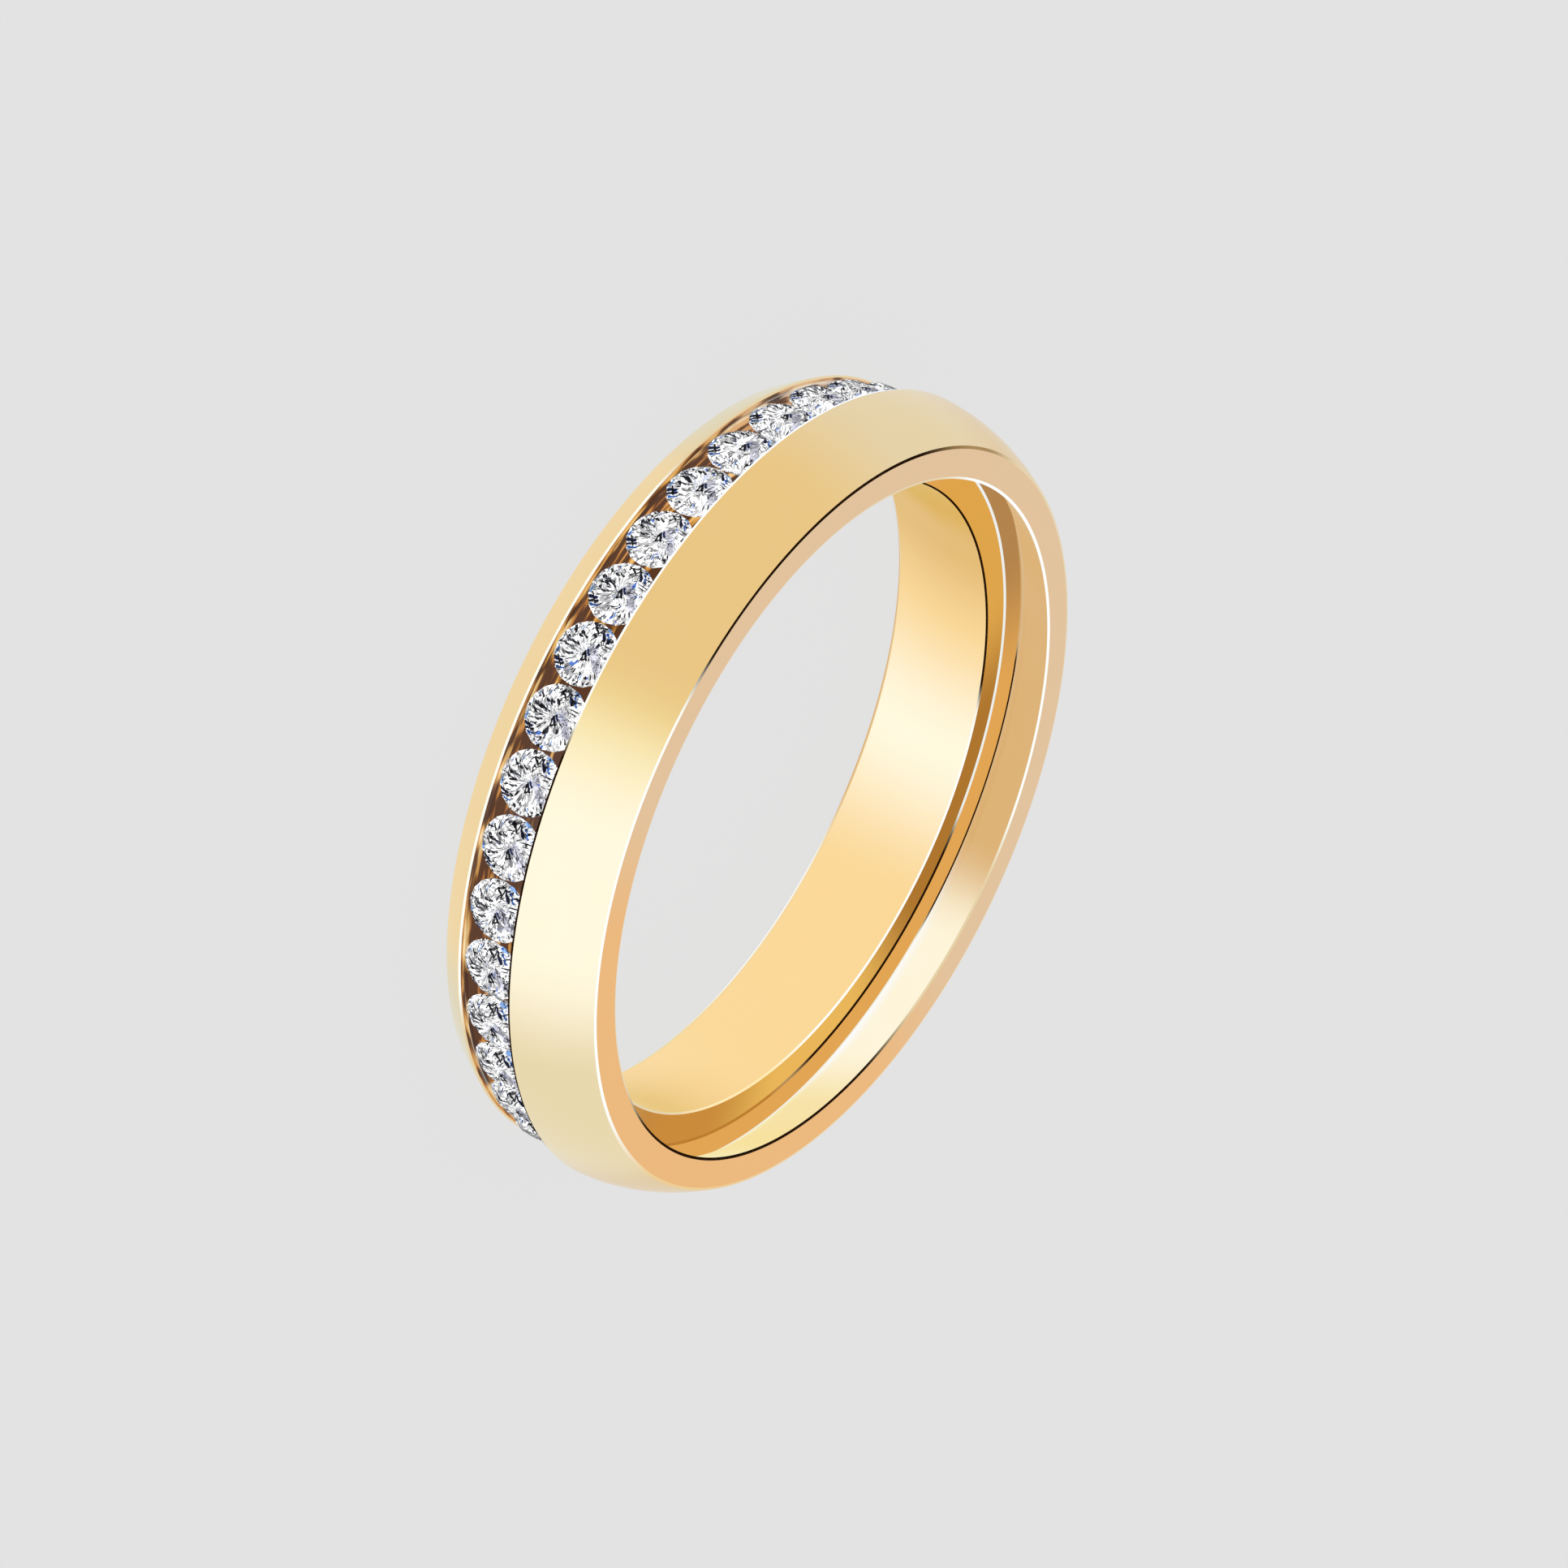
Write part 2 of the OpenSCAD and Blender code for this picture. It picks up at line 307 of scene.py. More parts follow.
def paintedChannelShadeGold(s):
    # The cast skin of the channel, cut open with a graver and never polished. Its colour is painted shade,
    # brown where the channel lies deep in shade, with bright painted reflections streaked along the
    # channel.
    material, tree = startMaterial("channel gold with painted shade and reflections")
    where = addNode(tree, "ShaderNodeSeparateXYZ", inputs={
        "Vector": addNode(tree, "ShaderNodeTexCoord").outputs["Object"]})
    toFront = addNode(tree, "ShaderNodeMath", {"operation": "MULTIPLY"}, {0: where.outputs["Y"], 1: -1.0})
    turnedBy = addNode(tree, "ShaderNodeMath", {"operation": "ARCTAN2"}, {
        0: where.outputs["X"], 1: toFront.outputs[0]}).outputs[0]
    out = addNode(tree, "ShaderNodeMath", {"operation": "MULTIPLY"}, {
        0: where.outputs["X"], 1: where.outputs["X"]})
    out = addNode(tree, "ShaderNodeMath", {"operation": "MULTIPLY_ADD"}, {
        0: where.outputs["Y"], 1: where.outputs["Y"], 2: out.outputs[0]})
    out = addNode(tree, "ShaderNodeMath", {"operation": "SQRT"}, {0: out.outputs[0]}).outputs[0]

    # streaks of painted reflection, drawn out along the channel; in the bump they are the marks of the
    # graver
    girdle = (bandSizes["boreRadius"] + bandSizes["girdleStep"]) * mm
    along = addNode(tree, "ShaderNodeMath", {"operation": "MULTIPLY"}, {0: turnedBy, 1: girdle})
    drawn = addNode(tree, "ShaderNodeCombineXYZ", inputs={
        "X": along.outputs[0], "Y": out, "Z": where.outputs["Z"]})
    length, width = [1 / (size * mm) for size in s["streak"]]
    drawn = addNode(tree, "ShaderNodeMapping", inputs={
        "Vector": drawn.outputs[0], "Scale": (length, width, width)})
    streaks = addNode(tree, "ShaderNodeTexNoise", inputs={
        "Vector": drawn.outputs[0], "Scale": 1.0, "Detail": 1.0}).outputs["Fac"]

    # painted light and shade, which make the colour lighter or darker
    shadeByRadius = addNode(tree, "ShaderNodeMapRange", inputs={
        "Value": out, "From Min": s["radii"][0] * mm, "From Max": s["radii"][1] * mm,
        "To Min": s["shadeByRadius"][0], "To Max": s["shadeByRadius"][1]})
    lightByTurn = addNode(tree, "ShaderNodeMapRange", inputs={
        "Value": turnedBy, "From Min": s["turns"][0], "From Max": s["turns"][1],
        "To Min": s["lightByTurn"][0], "To Max": s["lightByTurn"][1]})
    wholeStones = 100         # added so that the count round the ring stays above zero
    firstStone = (90 + stoneSizes["firstAngle"]) / stoneSizes["pitch"]
    highlightAndShadeByStone = addNode(tree, "ShaderNodeMath", {"operation": "MULTIPLY_ADD"}, {
        0: turnedBy, 1: bandSizes["stoneCount"] / (2 * math.pi), 2: wholeStones - firstStone})
    highlightAndShadeByStone = addNode(tree, "ShaderNodeMath", {"operation": "PINGPONG"}, {0: highlightAndShadeByStone.outputs[0], 1: 0.5})
    highlightAndShadeByStone = addNode(tree, "ShaderNodeMapRange", inputs={
        "Value": highlightAndShadeByStone.outputs[0], "From Min": 0.0, "From Max": 0.5,
        "To Min": s["stoneHighlightAndShade"][0], "To Max": s["stoneHighlightAndShade"][1]})
    light = streaks
    for change in (shadeByRadius, highlightAndShadeByStone, lightByTurn):
        light = addNode(tree, "ShaderNodeMath", {"operation": "ADD"}, {
            0: light, 1: change.outputs["Result"]}).outputs[0]
    tint = addNode(tree, "ShaderNodeValToRGB", inputs={"Fac": light})
    setStops(tint.color_ramp, [(position, linearColour(colour)) for position, colour in s["stops"]])

    # painted light: greyer at the top of the picture
    fromTop = addNode(tree, "ShaderNodeMath", {"operation": "ADD"}, {0: turnedBy, 1: s["greyestTurn"]})
    fromTop = addNode(tree, "ShaderNodeMath", {"operation": "ABSOLUTE"}, {0: fromTop.outputs[0]})
    greying = addNode(tree, "ShaderNodeMapRange", inputs={
        "Value": fromTop.outputs[0], "From Min": s["greyingSpan"][0], "From Max": s["greyingSpan"][1],
        "To Min": s["greyestColour"], "To Max": 1.0})
    tint = addNode(tree, "ShaderNodeHueSaturation", inputs={
        "Saturation": greying.outputs["Result"], "Color": tint.outputs["Color"]})
    bump = addNode(tree, "ShaderNodeBump", inputs={
        "Height": streaks, "Distance": s["markDepth"] * mm, "Strength": s["markStrength"]})
    metal = addNode(tree, "ShaderNodeBsdfPrincipled", inputs={
        "Base Color": tint.outputs["Color"], "Metallic": 1.0, "Roughness": s["roughness"],
        "Normal": bump.outputs["Normal"]})
    addNode(tree, "ShaderNodeOutputMaterial", inputs={"Surface": metal.outputs["BSDF"]})
    return material


stoneSizes = {
    "firstAngle": 3.7,        # degrees, of the first stone round the ring
    "pitch": 10,
    "girdleRadius": 9.9,
    "radius": 0.85,
    "ior": 2.18,
    "wedges": 16,             # a brilliant repeats, mirrored, this many times round
    "chipLength": 0.3,        # from the middle of a stone outwards
    "chipsInWedge": 2.36,     # side by side in each wedge
    "chipDepth": 0.4,
    "chipLean": 0.2,
    "turn": (-0.4242, 0.9056),        # cosine and sine of the turn of the facet pattern in its stone
    "dashLength": 0.21,       # of the dark splinters near the edge of a stone, which are painted reflections
    "dashesRound": 11,        # per radian
    "dashShare": 0.78,        # of the cells that hold a splinter
    "dashEdge": (0.30, 0.38),         # its soft edge, in cells from its middle
    "dashStops": [(0.0, "#16181E"), (0.45, "#7A7C84"), (0.65, "#101C48"), (0.78, "#6F9AE0"),
                  (0.86, "#16181E")],
    "swirl": 0.8,             # radians that they turn by over a radius
    "rippleScale": 6.0,       # the painted reflection strokes waver by this many to a radius
    "ripple": 0.12,
    "lineEdge": (1.1, 1.5, 0.008),    # and fade between these half widths, with this added to the second
    # painted reflections, as dark, blue and pale strokes: two ends in stone radii, half width, colour
    "reflectionStrokes": [
        ((-0.55, 0.48), (-0.14, 0.20), 0.026, "#4A4C56"),
        ((-0.64, 0.36), (-0.36, 0.16), 0.016, "#202228"),
        ((-0.04, -0.24), (0.10, -0.02), 0.022, "#101014"),
        ((0.10, -0.02), (0.13, -0.26), 0.030, "#0C1024"),
        ((-0.04, -0.24), (0.13, -0.26), 0.016, "#101014"),
        ((0.18, 0.02), (0.23, -0.10), 0.034, "#16285A"),
        ((0.32, 0.72), (0.42, 0.48), 0.020, "#101014"),
        ((0.42, 0.48), (0.54, 0.70), 0.020, "#101014"),
        ((0.32, 0.72), (0.52, 0.77), 0.018, "#101014"),
        ((-0.97, -0.08), (-0.62, -0.20), 0.028, "#101E48"),
        ((-0.93, -0.22), (-0.60, -0.30), 0.026, "#101838"),
        ((-0.86, -0.34), (-0.56, -0.44), 0.022, "#2A5CA8"),
        ((-0.80, 0.00), (-0.70, -0.32), 0.022, "#101014"),
        ((0.56, 0.62), (0.62, 0.28), 0.026, "#141A34"),
        ((0.68, 0.52), (0.72, 0.22), 0.020, "#2A5CA8"),
        ((-0.90, 0.10), (-0.84, 0.18), 0.055, "#86AEE6"),
        ((0.72, 0.68), (0.80, 0.60), 0.060, "#86AEE6"),
        ((-0.12, 0.52), (-0.04, 0.42), 0.028, "#24262C"),
        ((0.02, 0.50), (0.10, 0.40), 0.024, "#24262C"),
        ((-0.50, 0.02), (-0.30, -0.06), 0.022, "#34363E"),
        ((0.36, 0.06), (0.46, -0.55), 0.090, "#C6C6D2"),
        ((-0.36, 0.74), (-0.24, 0.60), 0.026, "#24262C"),
    ],
}


def clearStone(s):
    # Cut and polished zirconia. Light crosses a brilliant many times, so it gives the eye a star of
    # splinters far finer than the facets. Each facet is split into chips that lean a little, drawn as
    # coarse as they need to be to show. The splinters and the dark, blue and pale strokes are painted
    # reflections, in the tint of the glass.
    material, tree = startMaterial("brilliant cut zirconia")
    plainGlass = (1, 1, 1, 1)
    middle = (0.5, 0.5, 0.5)  # of a random colour, taken off to lean both ways
    where = addNode(tree, "ShaderNodeSeparateXYZ", inputs={
        "Vector": addNode(tree, "ShaderNodeTexCoord").outputs["Object"]})

    # the place across and along each stone, the same in every one of the row
    pitch = math.radians(s["pitch"])
    wholeStones = 100         # added so that the count round the ring stays above zero
    middleStone = wholeStones + 0.5 - s["firstAngle"] / s["pitch"]
    turned = addNode(tree, "ShaderNodeMath", {"operation": "ARCTAN2"}, {
        0: where.outputs["Y"], 1: where.outputs["X"]})
    count = addNode(tree, "ShaderNodeMath", {"operation": "MULTIPLY_ADD"}, {
        0: turned.outputs[0], 1: 1 / pitch, 2: middleStone})
    share = addNode(tree, "ShaderNodeMath", {"operation": "FRACT"}, {0: count.outputs[0]})
    wide = pitch * s["girdleRadius"]
    across = addNode(tree, "ShaderNodeMath", {"operation": "MULTIPLY_ADD"}, {
        0: share.outputs[0], 1: wide, 2: -wide / 2})
    along = addNode(tree, "ShaderNodeMath", {"operation": "MULTIPLY_ADD"}, {
        0: where.outputs["Z"], 1: 1 / mm, 2: -bandSizes["channelHeight"]})
    flat = addNode(tree, "ShaderNodeCombineXYZ", inputs={"X": across.outputs[0], "Y": along.outputs[0]})

    # chips, in mirrored wedges round the middle of each stone
    reach = addNode(tree, "ShaderNodeVectorMath", {"operation": "LENGTH"}, {0: flat.outputs[0]})
    circled = addNode(tree, "ShaderNodeMath", {"operation": "ARCTAN2"}, {
        0: along.outputs[0], 1: across.outputs[0]})
    fiveTurns = 10 * math.pi
    circled = addNode(tree, "ShaderNodeMath", {"operation": "ADD"}, {0: circled.outputs[0], 1: fiveTurns})
    wedgeAngle = 2 * math.pi / s["wedges"]
    wedge = addNode(tree, "ShaderNodeMath", {"operation": "PINGPONG"}, {
        0: circled.outputs[0], 1: wedgeAngle})
    outFlat = addNode(tree, "ShaderNodeCombineXYZ", inputs={
        "X": where.outputs["X"], "Y": where.outputs["Y"]})
    out = addNode(tree, "ShaderNodeVectorMath", {"operation": "LENGTH"}, {0: outFlat.outputs[0]})
    chipPlace = addNode(tree, "ShaderNodeCombineXYZ", inputs={
        "X": reach.outputs["Value"], "Y": wedge.outputs[0], "Z": out.outputs["Value"]})
    chipPlace = addNode(tree, "ShaderNodeVectorMath", {"operation": "MULTIPLY"}, {
        0: chipPlace.outputs[0],
        1: (1 / s["chipLength"], s["chipsInWedge"] / wedgeAngle, 1 / (s["chipDepth"] * mm))})
    chips = addNode(tree, "ShaderNodeTexVoronoi", inputs={"Vector": chipPlace.outputs[0], "Scale": 1.0})
    lean = addNode(tree, "ShaderNodeVectorMath", {"operation": "SUBTRACT"}, {
        0: chips.outputs["Color"], 1: middle})
    lean = addNode(tree, "ShaderNodeVectorMath", {"operation": "SCALE"}, {
        0: lean.outputs[0], "Scale": s["chipLean"]})
    surface = addNode(tree, "ShaderNodeNewGeometry")
    facing = addNode(tree, "ShaderNodeVectorMath", {"operation": "ADD"}, {
        0: surface.outputs["Normal"], 1: lean.outputs[0]})
    facing = addNode(tree, "ShaderNodeVectorMath", {"operation": "NORMALIZE"}, {0: facing.outputs[0]})

    # the place turned within the face of the stone, in stone radii, for the painted reflection strokes
    turnCos, turnSin = [part / s["radius"] for part in s["turn"]]
    right = addNode(tree, "ShaderNodeVectorMath", {"operation": "DOT_PRODUCT"}, {
        0: flat.outputs[0], 1: (turnCos, turnSin, 0)}).outputs["Value"]
    up = addNode(tree, "ShaderNodeVectorMath", {"operation": "DOT_PRODUCT"}, {
        0: flat.outputs[0], 1: (-turnSin, turnCos, 0)}).outputs["Value"]
    plane = addNode(tree, "ShaderNodeCombineXYZ", inputs={"X": right, "Y": up})
    ripple = addNode(tree, "ShaderNodeTexNoise", inputs={
        "Vector": plane.outputs[0], "Scale": s["rippleScale"], "Detail": 1.0})
    ripple = addNode(tree, "ShaderNodeVectorMath", {"operation": "SUBTRACT"}, {
        0: ripple.outputs["Color"], 1: middle})
    ripple = addNode(tree, "ShaderNodeVectorMath", {"operation": "SCALE"}, {
        0: ripple.outputs[0], "Scale": s["ripple"]})
    drawn = addNode(tree, "ShaderNodeVectorMath", {"operation": "ADD"}, {
        0: plane.outputs[0], 1: ripple.outputs[0]})

    # painted reflections: splinters that point outwards, thickest near the edge
    far = addNode(tree, "ShaderNodeVectorMath", {"operation": "LENGTH"}, {0: plane.outputs[0]})
    angle = addNode(tree, "ShaderNodeMath", {"operation": "ARCTAN2"}, {0: up, 1: right})
    angle = addNode(tree, "ShaderNodeMath", {"operation": "MULTIPLY_ADD"}, {
        0: far.outputs["Value"], 1: s["swirl"], 2: angle.outputs[0]})
    dashPlace = addNode(tree, "ShaderNodeCombineXYZ", inputs={
        "X": far.outputs["Value"], "Y": angle.outputs[0]})
    dashPlace = addNode(tree, "ShaderNodeVectorMath", {"operation": "MULTIPLY"}, {
        0: dashPlace.outputs[0], 1: (s["radius"] / s["dashLength"], s["dashesRound"], 0)})
    dashes = addNode(tree, "ShaderNodeTexVoronoi", inputs={"Vector": dashPlace.outputs[0], "Scale": 1.0})
    dashKind = addNode(tree, "ShaderNodeSeparateColor", inputs={"Color": dashes.outputs["Color"]})
    dashColour = addNode(tree, "ShaderNodeValToRGB", inputs={"Fac": dashKind.outputs[1]})
    dashColour.color_ramp.interpolation = "CONSTANT"
    dashStops = [(position, linearColour(colour)) for position, colour in s["dashStops"]]
    setStops(dashColour.color_ramp, dashStops)
    isDash = addNode(tree, "ShaderNodeMath", {"operation": "LESS_THAN"}, {
        0: dashKind.outputs[0], 1: s["dashShare"]})
    slim = addNode(tree, "ShaderNodeMapRange", inputs={
        "Value": dashes.outputs["Distance"], "From Min": s["dashEdge"][0], "From Max": s["dashEdge"][1],
        "To Min": 1.0, "To Max": 0.0})
    isDash = addNode(tree, "ShaderNodeMath", {"operation": "MULTIPLY"}, {
        0: isDash.outputs[0], 1: slim.outputs["Result"]})
    tint = addNode(tree, "ShaderNodeMix", {"data_type": "RGBA"}, {
        0: isDash.outputs[0], 6: plainGlass, 7: dashColour.outputs["Color"]}).outputs[2]

    # the painted reflection strokes, each as the distance to the nearest point of its line
    softFrom, softTo, softAdded = s["lineEdge"]
    for start, end, halfWidth, colour in s["reflectionStrokes"]:
        start, end = Vector((*start, 0)), Vector((*end, 0))
        way = end - start
        off = addNode(tree, "ShaderNodeVectorMath", {"operation": "SUBTRACT"}, {
            0: drawn.outputs[0], 1: tuple(start)})
        near = addNode(tree, "ShaderNodeVectorMath", {"operation": "DOT_PRODUCT"}, {
            0: off.outputs[0], 1: tuple(way / way.length_squared)})
        near = addNode(tree, "ShaderNodeClamp", inputs={"Value": near.outputs["Value"]})
        onLine = addNode(tree, "ShaderNodeVectorMath", {"operation": "SCALE"}, {
            0: tuple(way), "Scale": near.outputs[0]})
        away = addNode(tree, "ShaderNodeVectorMath", {"operation": "DISTANCE"}, {
            0: off.outputs[0], 1: onLine.outputs[0]})
        mask = addNode(tree, "ShaderNodeMapRange", inputs={
            "Value": away.outputs["Value"], "From Min": halfWidth * softFrom,
            "From Max": halfWidth * softTo + softAdded, "To Min": 1.0, "To Max": 0.0})
        tint = addNode(tree, "ShaderNodeMix", {"data_type": "RGBA"}, {
            0: mask.outputs["Result"], 6: tint, 7: linearColour(colour)}).outputs[2]

    # glass takes the square root of its tint at each crossing: squared on the way in, none on the way out
    squared = addNode(tree, "ShaderNodeMix", {"data_type": "RGBA", "blend_type": "MULTIPLY"}, {
        0: 1.0, 6: tint, 7: tint}).outputs[2]
    tint = addNode(tree, "ShaderNodeMix", {"data_type": "RGBA"}, {
        0: surface.outputs["Backfacing"], 6: squared, 7: plainGlass}).outputs[2]
    glass = addNode(tree, "ShaderNodeBsdfPrincipled", inputs={
        "Base Color": tint, "Roughness": 0.0, "IOR": s["ior"], "Transmission Weight": 1.0,
        "Normal": facing.outputs[0]})
    addNode(tree, "ShaderNodeOutputMaterial", inputs={"Surface": glass.outputs["BSDF"]})
    return material


gold, paintedChannelGold, stone = polishedGold(goldFinish), paintedChannelShadeGold(channelPaintedLight), clearStone(stoneSizes)
print("materials made")

section = bandSection(bandSizes)
pathRadius = bandSizes["pathRadius"]
loop = bpy.data.meshes.new("bandSection")
loop.from_pydata([((r - pathRadius) * mm, -z * mm, 0) for r, z in section],
                 [(i, (i + 1) % len(section)) for i in range(len(section))], [])
shaper = bpy.data.objects.new("bandShaper", loop)
scene.collection.objects.link(shaper)
modifier = shaper.modifiers.new("lathe", "NODES")
modifier.node_group = latheTree()
setModifierInputs(modifier, {
    "Segments": bandSizes["segments"], "Path Radius": pathRadius * mm, "Finish": gold})
bpy.context.view_layer.update()
bandMesh = bpy.data.meshes.new_from_object(shaper.evaluated_get(bpy.context.evaluated_depsgraph_get()))
bpy.data.objects.remove(shaper)
bandMesh.name = "bandPolished"
print("band swept:", len(bandMesh.polygons), "faces")

band = bpy.data.objects.new("band_polished", bandMesh)
scene.collection.objects.link(band)
bandMesh.shade_smooth()
bandMesh.set_sharp_from_angle(angle=math.radians(bandSizes["sharpAngle"]))
bandMesh.materials.append(paintedChannelGold)
cutIn, cutOut = bandSizes["cutRadii"]
cutLow, cutHigh = bandSizes["cutHeights"]
overLow, overOut, overFacing = bandSizes["overhang"]
# the faces in the channel and under its near rim take the gold with painted shade
for face in bandMesh.polygons:
    r, z = face.center.xy.length / mm, face.center.z / mm
    inChannel = cutLow < z < cutHigh and r < cutOut
    underRim = overLow < z < cutHigh and r < overOut and face.normal.z < overFacing
    if cutIn < r and (inChannel or underRim):
        face.material_index = 1
# polished gold mirrors the studio alone, and the stones keep clear of the gold's yellow
band.visible_transmission = False
band.visible_glossy = False
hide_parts("band")
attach(band, "root")
print("band finished")

for name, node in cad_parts.items():
    if name != "band":
        node.data.materials.clear()
        node.data.materials.append(stone)
        node.visible_glossy = False
print("stones finished")

tableSizes = {
    "halfWidth": 600,
    "drop": 0.01,             # below the ring, so that the two don't share a plane
    "grey": 0.03,             # how much it gives back of the light that falls on it
    "glow": 0.738,            # and of its own light from below
}
# Frosted white acrylic, lit from below, which gives an even pale ground with hardly a shadow.
tableFinish, tree = startMaterial("lit white acrylic")
acrylic = addNode(tree, "ShaderNodeBsdfPrincipled", inputs={
    "Base Color": (*[tableSizes["grey"]] * 3, 1), "Roughness": 1.0, "Specular IOR Level": 0.0,
    "Emission Color": (1, 1, 1, 1), "Emission Strength": tableSizes["glow"]})
addNode(tree, "ShaderNodeOutputMaterial", inputs={"Surface": acrylic.outputs["BSDF"]})
side, drop = tableSizes["halfWidth"] * mm, -tableSizes["drop"] * mm
tableMesh = bpy.data.meshes.new("table")
tableMesh.from_pydata([(-side, -side, drop), (side, -side, drop), (side, side, drop), (-side, side, drop)],
                      [], [(0, 1, 2, 3)])
tableMesh.materials.append(tableFinish)
table = bpy.data.objects.new("table", tableMesh)
scene.collection.objects.link(table)
table.visible_glossy = False
table.visible_transmission = False
print("table laid")

